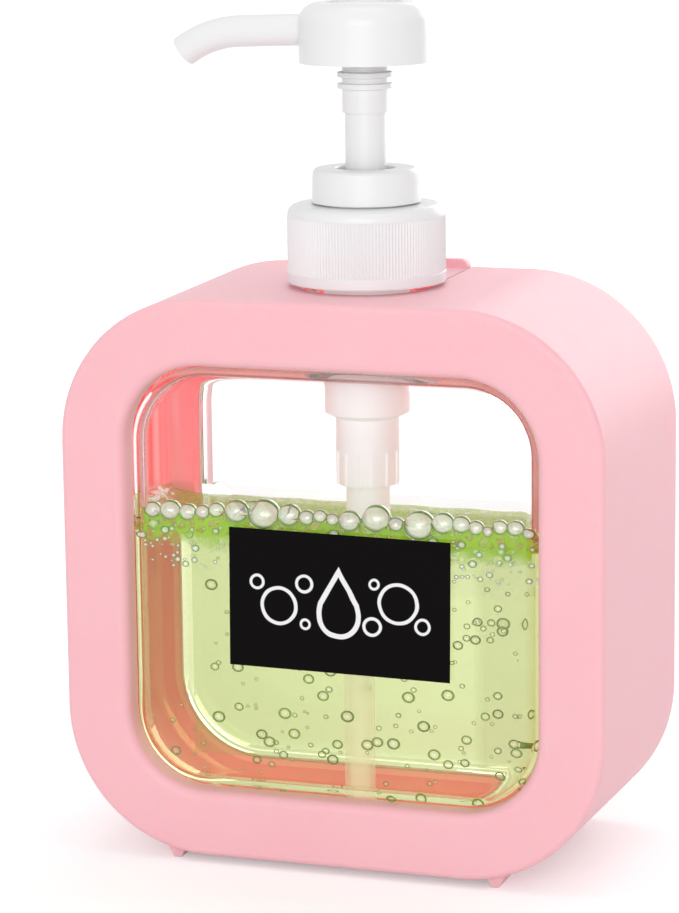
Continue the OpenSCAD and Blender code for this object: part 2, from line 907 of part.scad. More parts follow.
front_frame();
rear_frame();
bottle();
soap();
label();
closure();
gasket();
collar();
head();
stem();
piston();
stem_plug();
outlet_ball();
spring();
housing();
inlet_ball();
dip_tube();
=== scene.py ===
"""Looks of a pump dispenser for liquid soap: satin pink frame, clear bottle, white pump and green soap under foam."""

import bpy
import bmesh
import math
import numpy as np
from mathutils import Matrix, Vector


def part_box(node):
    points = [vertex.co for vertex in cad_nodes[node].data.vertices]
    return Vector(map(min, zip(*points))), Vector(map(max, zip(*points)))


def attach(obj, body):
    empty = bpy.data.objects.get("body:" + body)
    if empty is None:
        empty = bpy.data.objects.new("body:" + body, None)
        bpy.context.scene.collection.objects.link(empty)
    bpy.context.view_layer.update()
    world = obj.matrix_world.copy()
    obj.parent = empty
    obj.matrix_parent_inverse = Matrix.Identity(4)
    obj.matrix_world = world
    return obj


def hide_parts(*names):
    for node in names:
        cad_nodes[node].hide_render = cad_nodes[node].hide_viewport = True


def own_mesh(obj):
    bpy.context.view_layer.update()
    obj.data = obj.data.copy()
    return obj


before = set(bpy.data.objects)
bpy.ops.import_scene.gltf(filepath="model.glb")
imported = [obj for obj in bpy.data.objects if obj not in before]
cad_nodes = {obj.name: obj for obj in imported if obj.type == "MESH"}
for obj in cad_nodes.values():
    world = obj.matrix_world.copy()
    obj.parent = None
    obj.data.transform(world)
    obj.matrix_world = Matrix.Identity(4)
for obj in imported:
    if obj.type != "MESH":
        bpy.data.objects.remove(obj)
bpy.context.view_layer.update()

# Sizes of the frame and the bottle in metres, as the part has them
MM = 0.001
MID_Z = 58.5 * MM
FRAME_CORNER = 29.5 * MM
FRAME_HALF = 26.5 * MM
FRAME_WALL = 2.2 * MM
WINDOW_LIP = 12.2 * MM
CORNER_X = 27.0 * MM
CORNER_Z = 27.5 * MM
BOTTLE_WALL = 1.8 * MM
BODY_CORNER = 26.7 * MM
BODY_HALF = 20.6 * MM
BODY_ROUND = 6.0 * MM
PANEL_HALF = 24.9 * MM
PANEL_ROUND = 3.5 * MM
FRONT_PANEL_CORNER = 15.4 * MM
REAR_PANEL_CORNER = 17.4 * MM

# The liquid reaches a hair into the bottle wall, so that no film of air lies between them
WETTING = 0.04 * MM
LIQUID_LEVEL = 66.5 * MM
FOAM_HEIGHT = 5.4 * MM
FOAM_DEPTH = 7.5 * MM
FOAM_ROW_Z = 72.0 * MM
FILM = 0.32 * MM
FOAM_CELL = 2.2 * MM

# Big bubbles along the front pane: place from the middle and radius in millimetres
FRONT_BUBBLES = [
    (-38.5, 1.5), (-34.8, 1.9), (-30.9, 1.6), (-27.6, 1.3), (-24.7, 1.4), (-20.6, 2.2), (-15.0, 2.9), (-9.4, 2.1),
    (-5.5, 1.4), (-2.6, 1.2), (0.0, 1.1), (3.3, 2.0), (8.7, 2.6), (13.2, 1.3), (17.6, 2.8), (22.7, 2.0), (26.5, 1.6),
    (29.6, 1.3), (32.1, 0.9), (34.5, 1.3), (37.5, 1.4), (40.0, 0.9),
]

# Return spring of the pump
COIL_RADIUS = 4.6 * MM
WIRE_RADIUS = 0.45 * MM
COIL_TURNS = 9

SEED = 7
SQUAT = np.array([1.0, 1.0, 0.84])


# Meshes

def grid_faces(rows, columns, wrap=False):
    """Quads between neighbouring rows and columns of a grid of points, the last column joined to the first if it wraps."""
    row, column = np.meshgrid(np.arange(rows - 1), np.arange(columns if wrap else columns - 1), indexing="ij")
    right = (column + 1) % columns
    here, above = row * columns, (row + 1) * columns
    quads = np.stack([here + column, here + right, above + right, above + column], axis=-1)
    return [tuple(quad) for quad in quads.reshape(-1, 4).tolist()]


def piece(name, points, faces, material, body, sharp=35.0, recalculate=True):
    """Makes a smooth mesh of points and faces, merges doubles, turns the faces outwards and lets it ride on a body."""
    mesh = bpy.data.meshes.new(name)
    mesh.from_pydata(np.asarray(points, float).reshape(-1, 3).tolist(), [], faces)
    if recalculate:
        shell = bmesh.new()
        shell.from_mesh(mesh)
        bmesh.ops.remove_doubles(shell, verts=shell.verts, dist=1e-7)
        bmesh.ops.recalc_face_normals(shell, faces=shell.faces)
        shell.to_mesh(mesh)
        shell.free()
    mesh.polygons.foreach_set("use_smooth", np.ones(len(mesh.polygons), bool))
    mesh.set_sharp_from_angle(angle=math.radians(sharp))
    mesh.update()
    made = bpy.data.objects.new(name, mesh)
    bpy.context.scene.collection.objects.link(made)
    made.data.materials.append(material)
    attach(made, body)
    return made


def full_turn(steps):
    """Angles of that many even steps once round a circle, in radians."""
    return np.linspace(0, 2 * np.pi, steps, endpoint=False)


def arc(centre, radius, start, end, steps):
    """Points on a circle round centre, from one angle in degrees to another."""
    angle = np.radians(np.linspace(start, end, steps + 1))
    return np.stack([centre[0] + radius * np.cos(angle), centre[1] + radius * np.sin(angle)], axis=-1)


def between(a, b, spacing):
    """Points along a straight run, the two ends left out, no further apart than spacing."""
    a, b = np.array(a), np.array(b)
    count = max(int(np.ceil(np.linalg.norm(b - a) / spacing)), 2)
    share = np.linspace(0, 1, count + 1)[1:-1, None]
    return a + (b - a) * share


def liquid_section():
    """Half section of the bottle's inside, as distance outwards from the corner centre against depth, from rear to front.

    It runs along the rear panel, round its edge, out along the body face, round the body edge, and back to the front
    panel in the same way. The body faces slope a little, so that the depth grows all the way."""
    inset = BOTTLE_WALL - WETTING
    panel, body, outer = PANEL_HALF - inset, BODY_HALF - inset, BODY_CORNER - inset
    small, large = PANEL_ROUND - inset, BODY_ROUND - inset
    front, rear = FRONT_PANEL_CORNER - inset, REAR_PANEL_CORNER - inset
    hair, slope, close, fine = 0.2 * MM, 0.06 * MM, 0.3 * MM, 0.55 * MM
    runs = [
        [[rear - small - close, -panel - hair * 0.001]],
        arc((rear - small, -panel + small), small, -90, 0, 8),
        between((rear, -panel + small), (rear, -body - slope), fine),
        [[rear, -body - slope], [rear + hair, -body - slope * 0.8], [outer - large - hair, -body - slope * 0.2]],
        arc((outer - large, -body + large), large, -90, 0, 10),
        between((outer, -body + large), (outer, body - large), 0.7 * MM),
        arc((outer - large, body - large), large, 0, 90, 10),
        [[outer - large - hair, body + slope * 0.2], [front + hair, body + slope * 0.8], [front, body + slope]],
        between((front, body + slope), (front, panel - small), fine),
        arc((front - small, panel - small), small, 0, 90, 8),
        [[front - small - close, panel + hair * 0.001]],
    ]
    return np.concatenate([np.asarray(run, float) for run in runs])


def smooth_step(value):
    """0 below 0, 1 above 1, and an even curve between."""
    value = np.clip(value, 0, 1)
    return value * value * (3 - 2 * value)


def foam_domes(front_y):
    """Centres and radii of the big bubbles that lie against the front pane."""
    x, radius = np.array(FRONT_BUBBLES).T * MM
    lift = 0.5 * MM * np.sin(x / MM * 1.7)
    return np.stack([x, front_y + radius + FILM, FOAM_ROW_Z + lift, radius], axis=-1)


def surface_height(x, y, wall_x, front_y, rear_y, domes):
    """Height of the liquid over the table at x and y.

    The level is flat in the middle. A bank of foam rises towards the front pane and the side walls, a low lip towards
    the rear pane, and a thin film covers each big bubble like a dome."""
    ripple = 0.5 * np.sin(x / MM * 0.31 + y / MM * 0.5 + 1) + 0.4 * np.sin(x / MM * 0.83 - y / MM * 0.4)
    to_front = (y - front_y) / FOAM_DEPTH
    to_side = (wall_x - np.abs(x)) / (0.8 * FOAM_DEPTH)
    to_rear = (rear_y - y) / (2.0 * MM)
    front_bank = 1 - smooth_step((to_front - 0.25) / 0.75)
    side_bank = 0.45 * (1 - smooth_step((to_side - 0.2) / 0.8))
    rear_bank = 0.30 * (1 - smooth_step(to_rear)) ** 2
    bank = np.maximum(np.maximum(front_bank, side_bank), rear_bank)
    height = LIQUID_LEVEL + FOAM_HEIGHT * bank * (1 + 0.15 * ripple)
    for cx, cy, cz, radius in domes:
        reach = (radius + FILM) ** 2 - (x - cx) ** 2 - (y - cy) ** 2
        height = np.where(reach > 0, np.maximum(height, cz + np.sqrt(np.maximum(reach, 0))), height)
    return height


def liquid_shell(domes):
    """Closed skin of the liquid: the inside of the bottle up to its surface, swept round the two lower corners.

    Rows follow the section from rear to front. Columns go down the left wall, round both corners and up the right wall,
    and then back over the surface from right to left."""
    section = liquid_section()
    out, depth = section[:, 0], section[:, 1]
    front_y, rear_y = -depth[-1], -depth[0]
    turn = np.radians(np.concatenate([np.linspace(180, 270, 17), np.linspace(270, 360, 17)]))
    centre_x = np.repeat([-CORNER_X, CORNER_X], 17)
    wall_x = centre_x[None, :] + out[:, None] * np.cos(turn)[None, :]
    wall_z = MID_Z - CORNER_Z + out[:, None] * np.sin(turn)[None, :]
    support = 0.4 * MM
    half = CORNER_X + out[:, None]
    left = np.concatenate([-half, -half], axis=1)
    right = np.concatenate([half, half], axis=1)
    low = np.full((len(out), 1), MID_Z - CORNER_Z + support)
    y = -depth[:, None]
    across = 300
    share = np.cos(np.linspace(0, np.pi, across + 1))
    share = 0.5 * share + 0.5 * np.linspace(1, -1, across + 1)
    top_x = half * share[None, :]
    top_y = np.repeat(y, across + 1, axis=1)
    top_z = surface_height(top_x, top_y, half, front_y, rear_y, domes)
    x = np.concatenate([left[:, :1], wall_x, right[:, :1], top_x[:, :-1]], axis=1)
    z = np.concatenate([low, wall_z, low, top_z[:, :-1]], axis=1)
    x = np.concatenate([x, top_x[:, -1:]], axis=1)
    z = np.concatenate([z, top_z[:, -1:]], axis=1)
    points = np.stack([x, np.repeat(y, x.shape[1], axis=1), z], axis=-1)
    rows, columns = x.shape
    faces = grid_faces(rows, columns, wrap=True)
    faces.append(tuple(range(columns)))
    faces.append(tuple((rows - 1) * columns + np.arange(columns)[::-1]))
    return points, faces


def ball_template(rings, sides):
    """Unit ball as rings of latitude between two poles, with its quads and its polar triangles."""
    lat = np.linspace(0, np.pi, rings + 1)[1:-1]
    lat, lon = np.meshgrid(lat, full_turn(sides), indexing="ij")
    middle = np.stack([np.sin(lat) * np.cos(lon), np.sin(lat) * np.sin(lon), np.cos(lat)], axis=-1).reshape(-1, 3)
    points = np.concatenate([middle, [[0, 0, 1], [0, 0, -1]]])
    count = len(middle)
    faces = [face[::-1] for face in grid_faces(rings - 1, sides, wrap=True)]
    side = np.arange(sides)
    last = (rings - 2) * sides
    faces += [(count, int(a), int(b)) for a, b in zip(side, (side + 1) % sides)]
    faces += [(count + 1, int(last + b), int(last + a)) for a, b in zip(side, (side + 1) % sides)]
    return points, faces


def bubble_cloud(name, bubbles, rings, sides, material):
    """One mesh of many bubbles, each a ball set at its centre and swelled to its radius, a little flattened."""
    template, faces = ball_template(rings, sides)
    count = len(template)
    points = bubbles[:, None, :3] + template[None] * SQUAT * bubbles[:, None, 3:4]
    all_faces = [tuple(number + index * count for number in face) for index in range(len(bubbles)) for face in faces]
    return piece(name, points, all_faces, material, "case", sharp=180, recalculate=False)


def ring_cloud(name, bubbles, share, material, around=20, sides=6):
    """One mesh of the thick green rims of many bubbles: a ring round each ball, upright and facing the window.

    A ring is a circle of the bubble's radius swept by a small circle whose radius is a share of it."""
    turn, roll = np.meshgrid(full_turn(around), full_turn(sides), indexing="ij")
    reach = 1 + share * np.cos(roll)
    template = np.stack([reach * np.cos(turn), share * np.sin(roll), reach * np.sin(turn)], axis=-1)
    count = around * sides
    along, across = np.meshgrid(np.arange(around), np.arange(sides), indexing="ij")
    after, beside = (along + 1) % around, (across + 1) % sides
    here, ahead = along * sides, after * sides
    quads = np.stack([here + across, here + beside, ahead + beside, ahead + across], axis=-1).reshape(-1, 4)
    points = bubbles[:, None, :3] + template.reshape(-1, 3)[None] * SQUAT * bubbles[:, None, 3:4]
    shift = np.arange(len(bubbles))[:, None, None] * count
    all_faces = [tuple(face) for face in (quads[None] + shift).reshape(-1, 4).tolist()]
    return piece(name, points, all_faces, material, "case", sharp=180)


def sheet(name, low, high, columns, rows, height, material):
    """Thin sheet over a box: points run evenly between its corners, and height gives each its third coordinate."""
    across, along = np.meshgrid(np.linspace(low[0], high[0], columns), np.linspace(low[1], high[1], rows))
    points = height(across, along)
    return piece(name, points, grid_faces(rows, columns), material, "case", sharp=180, recalculate=False)


def scatter(rng, count, low, high, radii, taken, gap=0.08 * MM, keep=lambda place, radius: True):
    """Bubbles thrown at random into a box, small ones more often than large ones, none touching another."""
    found = []
    for attempt in range(count * 12):
        if len(found) == count:
            break
        place = low + (high - low) * rng.random(3)
        radius = radii[0] + (radii[1] - radii[0]) * rng.random() ** 2.2
        others = np.array(taken + found)
        clear = np.all(np.linalg.norm(others[:, :3] - place, axis=1) > others[:, 3] + radius + gap) if len(others) else True
        if clear and keep(place, radius):
            found.append([*place, radius])
    return found


def coil_spring(foot, top, coil_radius, wire_radius, turns, around=20, sides=8):
    """Return spring: a small circle swept along a helix, whose first and last turns lie closed at the wire's pitch."""
    steps = around * turns
    turn = np.arange(steps + 1) / around
    rise = top - foot - 2 * wire_radius
    closed = 2 * wire_radius
    height = np.interp(turn, [0, 1, turns - 1, turns], [0, closed, rise - closed, rise])
    angle, roll = 2 * np.pi * turn[:, None], full_turn(sides)[None, :]
    radius = coil_radius + wire_radius * np.cos(roll)
    lift = foot + wire_radius + height[:, None] + wire_radius * np.sin(roll)
    points = np.stack([radius * np.cos(angle), radius * np.sin(angle), lift + 0 * angle], axis=-1)
    last = steps * sides
    faces = grid_faces(steps + 1, sides, wrap=True) + [tuple(range(sides)), tuple(range(last, last + sides))]
    return points, faces


# Shader nodes

class Wire:
    """One output of a shader node. Arithmetic on it adds Math nodes."""

    def __init__(self, graph, socket):
        self.graph, self.socket = graph, socket

    def __add__(self, other):
        return self.graph.math("ADD", self, other)

    __radd__ = __add__

    def __sub__(self, other):
        return self.graph.math("SUBTRACT", self, other)

    def __rsub__(self, other):
        return self.graph.math("SUBTRACT", other, self)

    def __mul__(self, other):
        return self.graph.math("MULTIPLY", self, other)

    __rmul__ = __mul__

    def __truediv__(self, other):
        return self.graph.math("DIVIDE", self, other)

    def __abs__(self):
        return self.graph.math("ABSOLUTE", self)

    def __pow__(self, other):
        return self.graph.math("POWER", self, other)

    def clamp(self):
        return self.graph.math("ADD", self, 0.0, clamp=True)


class Graph:
    """The shader nodes of one material or world."""

    def __init__(self, owner):
        owner.use_nodes = True
        self.owner, self.tree = owner, owner.node_tree
        self.tree.nodes.clear()

    def node(self, kind, settings=None, sockets=None):
        """Adds a node, sets its settings, then gives its sockets their values or links."""
        made = self.tree.nodes.new(kind)
        for key, value in (settings or {}).items():
            if key == "stops":
                while len(made.color_ramp.elements) < len(value):
                    made.color_ramp.elements.new(0.5)
                for element, (place, colour) in zip(made.color_ramp.elements, value):
                    element.position, element.color = place, colour
            else:
                setattr(made, key, value)
        for key, value in (sockets or {}).items():
            if isinstance(value, Wire):
                self.tree.links.new(value.socket, made.inputs[key])
            else:
                made.inputs[key].default_value = value
        return made

    def wire(self, kind, output=0, settings=None, sockets=None):
        return Wire(self, self.node(kind, settings, sockets).outputs[output])

    def math(self, operation, first, second=0.0, clamp=False):
        return self.wire("ShaderNodeMath", 0, {"operation": operation, "use_clamp": clamp}, {0: first, 1: second})

    def mix_colour(self, share, first, second):
        return self.wire("ShaderNodeMix", 2, {"data_type": "RGBA"}, {0: share, 6: first, 7: second})

    def mix_shader(self, share, first, second):
        return self.wire("ShaderNodeMixShader", 0, {}, {0: share, 1: first, 2: second})

    def noise(self, size, detail=2.0, rough=0.5):
        """Noise over the object in metres: size is the width of one lump."""
        place = self.wire("ShaderNodeTexCoord", "Object")
        return self.wire("ShaderNodeTexNoise", "Fac", {}, {
            "Vector": place, "Scale": 1 / size, "Detail": detail, "Roughness": rough,
        })

    def bump(self, height, distance, strength=1.0):
        return self.wire("ShaderNodeBump", 0, {}, {"Height": height, "Distance": distance, "Strength": strength})

    def surface(self, shader, volume=None):
        output = self.node("ShaderNodeOutputMaterial", {}, {"Surface": shader})
        if volume is not None:
            self.tree.links.new(volume.socket, output.inputs["Volume"])
        return self.owner


def new_graph(name):
    return Graph(bpy.data.materials.new(name))


def moulded_plastic(name, colour, deep, roughness, grain, lump, passing=0.0, unbent=0.5, glow=0.0):
    """Moulded plastic: slow drift between two tones and a fine satin grain.

    The passing share of light goes through it, and the unbent share of that goes straight on. The glow is painted
    light: the plastic emits it, standing in for light that has spread inside thin plastic."""
    g = new_graph(name)
    drift = g.noise(lump, 3)
    fine = g.noise(grain, 2)
    tone = g.mix_colour((drift - 0.5) * 1.6 + 0.5, (*deep, 1), (*colour, 1))
    shader = g.wire("ShaderNodeBsdfPrincipled", 0, {}, {
        "Base Color": tone,
        "Roughness": roughness + (fine - 0.5) * 0.10 + (drift - 0.5) * 0.06,
        "IOR": 1.49,
        # The glow is painted light: the plastic emits it.
        "Emission Color": (*colour, 1),
        "Emission Strength": glow,
        "Normal": g.bump(fine, 0.02 * MM, 0.35),
    })
    if passing:
        milky = g.wire("ShaderNodeBsdfTranslucent", 0, {}, {"Color": (*colour, 1)})
        clear = g.wire("ShaderNodeBsdfTransparent", 0, {}, {"Color": (*colour, 1)})
        shader = g.mix_shader(passing, shader, g.mix_shader(unbent, milky, clear))
    return g.surface(shader)


def frame_plastic():
    """Pink moulded plastic that scatters red light under its skin. Inside the shell its faces carry painted bands and
    streaks of light and shade and a painted red glow, deeper than the faces outside.
    """
    g = new_graph("pink_plastic")
    drift = g.noise(22 * MM, 3)
    fine = g.noise(0.35 * MM, 2)
    split = g.node("ShaderNodeSeparateXYZ", {}, {0: g.wire("ShaderNodeTexCoord", "Object")})
    x, y, z = (Wire(g, split.outputs[axis]) for axis in "XYZ")
    past_x = g.math("MAXIMUM", abs(x) - CORNER_X, 0.0)
    past_z = g.math("MAXIMUM", abs(z - MID_Z) - CORNER_Z, 0.0)
    depth = (y + FRAME_HALF) / (2 * FRAME_HALF)
    under_skin = FRAME_CORNER + depth * MM - (past_x ** 2 + past_z ** 2) ** 0.5
    behind_lip = FRAME_HALF - abs(y)
    inside = ((under_skin - 0.5 * FRAME_WALL) / (0.4 * FRAME_WALL)).clamp() * ((behind_lip - 1.0 * MM) / (2.5 * MM)).clamp()
    inside = inside * ((WINDOW_LIP - under_skin) / (0.2 * MM)).clamp()
    skin = g.mix_colour((drift - 0.5) * 1.6 + 0.5, (0.945, 0.520, 0.570, 1), (0.96, 0.545, 0.595, 1))
    # Painted light: bands of red and pink light and shade across the depth of the lining.
    painted_light_bands = g.wire("ShaderNodeValToRGB", 0, {"stops": [
        (0.0, (0.90, 0.62, 0.62, 1)), (0.44, (0.93, 0.50, 0.50, 1)), (0.54, (0.97, 0.22, 0.20, 1)),
        (0.57, (0.98, 0.012, 0.004, 1)), (0.71, (0.98, 0.014, 0.006, 1)), (0.74, (0.96, 0.34, 0.33, 1)),
        (0.79, (0.97, 0.08, 0.07, 1)), (0.83, (0.96, 0.52, 0.52, 1)),
        (0.88, (0.94, 0.24, 0.26, 1)), (1.0, (0.93, 0.40, 0.43, 1)),
    ]}, {0: depth})
    # Below the liquid level, seen through the soap, the lining gets painted streaks of light and shade instead.
    wet = ((LIQUID_LEVEL + 3 * MM - z) / (4 * MM)).clamp()
    painted_light_streaks = g.wire("ShaderNodeValToRGB", 0, {"stops": [
        (0.0, (0.90, 0.55, 0.55, 1)), (0.44, (0.93, 0.45, 0.42, 1)), (0.55, (0.96, 0.22, 0.18, 1)),
        (0.62, (0.97, 0.30, 0.24, 1)), (0.68, (0.96, 0.60, 0.50, 1)), (0.72, (0.92, 0.26, 0.20, 1)),
        (0.78, (0.96, 0.66, 0.58, 1)), (0.84, (0.88, 0.28, 0.24, 1)),
        (0.90, (0.95, 0.70, 0.64, 1)), (1.0, (0.90, 0.40, 0.36, 1)),
    ]}, {0: depth})
    # Painted glow: red streaks, a bright pink glow near the bottom, dimmer towards the front of the shell.
    low = ((24 * MM - z) / (10 * MM)).clamp()
    painted_light_streaks = g.mix_colour(0.25, painted_light_streaks, (0.88, 0.10, 0.06, 1))
    painted_lining = g.mix_colour(wet, painted_light_bands, painted_light_streaks)
    shine = g.mix_colour(low, g.mix_colour(0.6, painted_light_streaks, (0.12, 0.015, 0.05, 1)), (1.12, 0.40, 0.62, 1))
    shine = g.mix_colour(wet, painted_light_bands, shine)
    shine = g.mix_colour(((depth - 0.40) / 0.12).clamp(), (0.22, 0.11, 0.11, 1), shine)
    shader = g.wire("ShaderNodeBsdfPrincipled", 0, {"subsurface_method": "RANDOM_WALK"}, {
        "Base Color": g.mix_colour(inside, skin, painted_lining),
        "Roughness": 0.46 + (fine - 0.5) * 0.10 + (drift - 0.5) * 0.06,
        "IOR": 1.49,
        "Specular IOR Level": 0.35,
        "Subsurface Weight": 0.5,
        "Subsurface Radius": (1.0, 0.12, 0.08),
        "Subsurface Scale": 3 * MM,
        # Painted glow of the inside faces: they emit light though they are no lamp.
        "Emission Color": g.mix_colour(inside, (0, 0, 0, 1), shine),
        "Emission Strength": 0.34,
        "Normal": g.bump(fine, 0.02 * MM, 0.35),
    })
    return g.surface(shader)


def lamp_share(g):
    """1 for shadow rays, for rays that left a matt surface and for rays caught inside a wall, which all pass unbent."""
    path = g.node("ShaderNodeLightPath")
    unbent = g.math("MAXIMUM", Wire(g, path.outputs["Is Shadow Ray"]), Wire(g, path.outputs["Is Diffuse Ray"]))
    return g.math("MAXIMUM", unbent, (Wire(g, path.outputs["Ray Depth"]) - 5).clamp())


def clear_plastic():
    """Polished clear plastic with a faint wave left by the mould."""
    g = new_graph("clear_plastic")
    wave = g.noise(14 * MM, 1)
    solid = g.wire("ShaderNodeBsdfPrincipled", 0, {}, {
        "Base Color": (0.975, 0.975, 0.982, 1),
        "Roughness": 0.0,
        "IOR": 1.36,
        "Transmission Weight": 1.0,
        "Normal": g.bump(wave, 0.05 * MM, 0.12),
    })
    through = g.wire("ShaderNodeBsdfTransparent", 0, {}, {"Color": (0.99, 0.995, 0.995, 1)})
    return g.surface(g.mix_shader(lamp_share(g), solid, through))


def liquid_soap():
    """Clear yellow-green liquid that takes out blue first and red next over its depth."""
    g = new_graph("liquid_soap")
    solid = g.wire("ShaderNodeBsdfPrincipled", 0, {}, {
        "Base Color": (1, 1, 1, 1),
        "Roughness": 0.0,
        "IOR": 1.35,
        "Transmission Weight": 1.0,
    })
    through = g.wire("ShaderNodeBsdfTransparent", 0, {}, {"Color": (1, 1, 1, 1)})
    depth = g.wire("ShaderNodeVolumeAbsorption", 0, {}, {"Color": (0.70, 0.80, 0.05, 1), "Density": 19.5})
    return g.surface(g.mix_shader(lamp_share(g), solid, through), depth)


def bubble_air(name, film_glow_share, gloss):
    """Air inside the liquid: clear, with a share of painted glow for a white film lit from behind, and bending light
    back at its edge.
    """
    g = new_graph(name)
    bent = g.wire("ShaderNodeBsdfGlass", 0, {}, {"Color": (1, 1, 1, 1), "Roughness": 0.0, "IOR": 1 / 1.15})
    through = g.wire("ShaderNodeBsdfTransparent", 0, {}, {"Color": (1, 1, 1, 1)})
    # Painted glow: the bubble emits white light for its film lit from behind.
    painted_film_glow = g.wire("ShaderNodeEmission", 0, {}, {"Color": (0.97, 0.98, 0.95, 1), "Strength": 1.0})
    shine = g.wire("ShaderNodeBsdfGlossy", 0, {}, {"Color": (1, 1, 1, 1), "Roughness": 0.04})
    edge = g.wire("ShaderNodeLayerWeight", "Facing", {}, {"Blend": 0.25})
    ball = g.mix_shader(edge ** 2, g.mix_shader(film_glow_share, through, painted_film_glow), bent)
    return g.surface(g.mix_shader(lamp_share(g), g.mix_shader(gloss, ball, shine), through))


def green_rim(name, deep, bright):
    """Thick rims where the liquid gathers round the bubbles: green and wet, between a deep and a bright tone."""
    g = new_graph(name)
    drift = g.noise(6 * MM, 2)
    tone = g.mix_colour(drift, (*deep, 1), (*bright, 1))
    wet = g.wire("ShaderNodeBsdfDiffuse", 0, {}, {"Color": tone})
    milky = g.wire("ShaderNodeBsdfTranslucent", 0, {}, {"Color": tone})
    return g.surface(g.mix_shader(0.5, wet, milky))


def foam_green(name, colour, bubbles, low, high, fade, strength, open_share):
    """Green liquid between the bubbles of the foam, thinning out downwards and left open where a bubble stands.

    It gathers along the edges of small cells, as between small bubbles."""
    g = new_graph(name)
    split = g.node("ShaderNodeSeparateXYZ", {}, {0: g.wire("ShaderNodeTexCoord", "Object")})
    x, z = Wire(g, split.outputs["X"]), Wire(g, split.outputs["Z"])
    cloud = g.noise(3.0 * MM, 3, 0.65)
    place = g.wire("ShaderNodeTexCoord", "Object")
    cells = g.wire("ShaderNodeTexVoronoi", "Distance", {"feature": "DISTANCE_TO_EDGE"}, {
        "Vector": place, "Scale": 1 / FOAM_CELL, "Randomness": 1.0,
    })
    film = 1 - ((cells - 0.13) / 0.06).clamp() * open_share
    over_low = ((z - low) / fade + (cloud - 0.5) * 1.5).clamp()
    under_high = ((high + (cloud - 0.5) * 3 * MM - z) / (0.6 * MM)).clamp()
    share = over_low * under_high * strength * film
    for cx, cy, cz, radius in bubbles:
        away = ((x - cx) ** 2 + ((z - cz) / float(SQUAT[2])) ** 2) ** 0.5
        share = share * ((away - radius) / (0.12 * MM)).clamp()
    return g.surface(veiled(g, share, (*colour, 1)))


def veiled(g, share, tone):
    """Clear but for a share of fine milky matter of that tone, lit from both sides."""
    lit = g.wire("ShaderNodeBsdfTranslucent", 0, {}, {"Color": tone})
    front = g.wire("ShaderNodeBsdfDiffuse", 0, {}, {"Color": tone})
    clear = g.wire("ShaderNodeBsdfTransparent", 0, {}, {"Color": (1, 1, 1, 1)})
    return g.mix_shader(share, clear, g.mix_shader(0.45, lit, front))


def cloudy_soap():
    """Fine bubbles hanging in the liquid: green under the foam and to the left, greyer towards the right wall."""
    g = new_graph("cloudy_soap")
    split = g.node("ShaderNodeSeparateXYZ", {}, {0: g.wire("ShaderNodeTexCoord", "Object")})
    x, z = Wire(g, split.outputs["X"]), Wire(g, split.outputs["Z"])
    cloud = g.noise(9 * MM, 3, 0.6)
    under = ((z - 50 * MM + (cloud - 0.5) * 14 * MM) / (20 * MM)).clamp()
    left = ((12 * MM - x) / (60 * MM)).clamp()
    right = ((x - 21 * MM) / (2.5 * MM)).clamp()
    share = 0.05 + 0.45 * under ** 2 + 0.24 * left + 0.30 * right
    tone = g.mix_colour(right, (0.36, 0.60, 0.04, 1), (0.62, 0.66, 0.48, 1))
    return g.surface(veiled(g, share, tone))


def label_film(low, high):
    """Black satin film with a drawn drop between rings of bubbles in white ink."""
    g = new_graph("label_film")
    middle = (low + high) / 2
    place = g.node("ShaderNodeTexCoord").outputs["Object"]
    centred = g.wire("ShaderNodeVectorMath", 0, {"operation": "SUBTRACT"}, {0: Wire(g, place), 1: (middle.x, 0, middle.z)})
    turned = g.wire("ShaderNodeVectorRotate", 0, {"rotation_type": "Y_AXIS"}, {
        "Vector": centred, "Angle": math.radians(-0.6),
    })
    split = g.node("ShaderNodeSeparateXYZ", {}, {0: turned})
    x, y, z = (Wire(g, split.outputs[axis]) for axis in "XYZ")
    edge = 8000.0
    wobble = (g.noise(3.5 * MM, 1) - 0.5) * 0.35 * MM

    def ring(cx, cz, radius, stroke):
        """1 on a circle of that stroke."""
        away = ((x - cx * MM) ** 2 + (z - cz * MM) ** 2) ** 0.5
        return ((stroke * MM / 2 - abs(away + wobble - radius * MM)) * edge).clamp()

    def drop(cz, width, height):
        """1 inside a teardrop that is round at its foot and comes to a point at its top."""
        rise = (z + wobble - cz * MM) / (height * MM)
        side = width * MM * (1 - rise) * ((1 + rise).clamp() ** 0.5)
        return ((side - abs(x + wobble)) * edge).clamp() * (((1 - abs(rise)) * 400).clamp())

    ink = (drop(0.3, 4.3, 7.4) - drop(-0.2, 3.35, 5.9)).clamp()
    for mark in [
        ring(-12.6, -1.2, 3.6, 0.85), ring(-7.2, 3.6, 1.6, 0.75), ring(-17.2, 3.4, 1.3, 0.7), ring(-7.0, -4.6, 0.9, 0.65),
        ring(12.4, 1.0, 3.9, 0.85), ring(7.0, -4.0, 1.7, 0.75), ring(17.4, -3.2, 1.4, 0.7), ring(7.4, 4.6, 0.9, 0.65),
    ]:
        ink = g.math("MAXIMUM", ink, mark)
    ink = ink * ((middle.y - y) * 50 * edge).clamp()
    fine = g.noise(0.5 * MM, 2)
    tone = g.mix_colour(ink, (0.0025, 0.0018, 0.0022, 1), (0.86, 0.86, 0.86, 1))
    shader = g.wire("ShaderNodeBsdfPrincipled", 0, {}, {
        "Base Color": tone,
        "Roughness": 0.42 + (fine - 0.5) * 0.12,
        "IOR": 1.45,
        "Specular IOR Level": 0.06,
        "Normal": g.bump(fine, 0.01 * MM, 0.3),
    })
    return g.surface(shader)


def steel():
    """Drawn steel with fine lines round the wire."""
    g = new_graph("steel")
    fine = g.noise(0.3 * MM, 2)
    shader = g.wire("ShaderNodeBsdfPrincipled", 0, {}, {
        "Base Color": g.mix_colour(fine, (0.50, 0.50, 0.52, 1), (0.62, 0.62, 0.64, 1)),
        "Metallic": 1.0,
        "Roughness": 0.22 + fine * 0.12,
    })
    return g.surface(shader)


